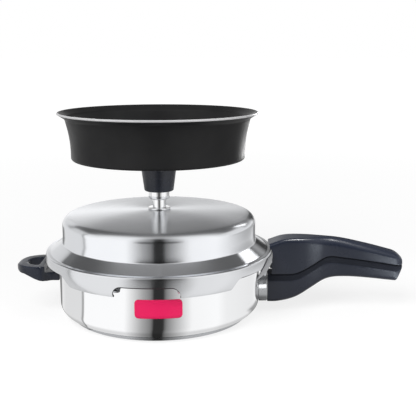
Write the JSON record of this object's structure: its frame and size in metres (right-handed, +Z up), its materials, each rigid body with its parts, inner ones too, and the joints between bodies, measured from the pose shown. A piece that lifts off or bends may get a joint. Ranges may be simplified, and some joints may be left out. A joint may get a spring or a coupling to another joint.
{
  "type": "stovetop pressure pan",
  "caption": "Low stovetop pressure pan with an outer bayonet lid, a regulator weight, a long split handle, a loop handle and a shallow dark pan standing on the weight.",
  "frame": {"origin": "on the axis of the pot, in the plane that the base stands on", "axes": "+X along the long handle, +Z up along the axis of the pot, +Y to the left of the long handle seen from above"},
  "size_m": [0.3873, 0.2256, 0.2018],
  "materials": {
    "polished_steel": "mirror polished stainless steel",
    "satin_steel": "satin",
    "aluminium": "plain",
    "brass": "plain",
    "bakelite": "dark moulded phenolic, satin gloss",
    "dark_coat": "black hard coat",
    "rubber": "matt",
    "fusible_alloy": "dull"
  },
  "bodies": {
    "pot": {"pot_body": "polished_steel", "base_core": "aluminium", "base_cover": "satin_steel", "pot_handle_bracket": "satin_steel", "flame_guard": "polished_steel", "pot_handle": "bakelite", "pot_handle_screw": "satin_steel", "side_handle_bracket": "satin_steel", "side_handle": "bakelite", "side_handle_screw": "satin_steel"},
    "lid": {"lid_shell": "polished_steel", "lid_gasket": "rubber", "vent_tube": "polished_steel", "vent_washer": "rubber", "vent_nut": "brass", "lid_handle_bracket": "satin_steel", "lid_handle": "bakelite", "lid_handle_screw": "satin_steel", "safety_plug": "brass", "safety_plug_slug": "fusible_alloy", "safety_plug_washer": "rubber", "safety_plug_nut": "brass"},
    "weight": {"weight_core": "polished_steel", "weight_needle": "satin_steel", "weight_cap": "bakelite"},
    "pan": {"inner_pan": "dark_coat"}
  },
  "joints": [
    {"name": "lid_turn", "type": "hinge", "parent": "pot", "child": "lid", "pos_m": [0, 0, 0.06], "axis": [0, 0, 1], "range_deg": [0, 30]},
    {"name": "weight_lift", "type": "slide", "parent": "lid", "child": "weight", "axis": [0, 0, 1], "range_m": [0, 0.02]},
    {"name": "pan_lift", "type": "slide", "parent": "weight", "child": "pan", "axis": [0, 0, 1], "range_m": [0, 0.06]}
  ]
}
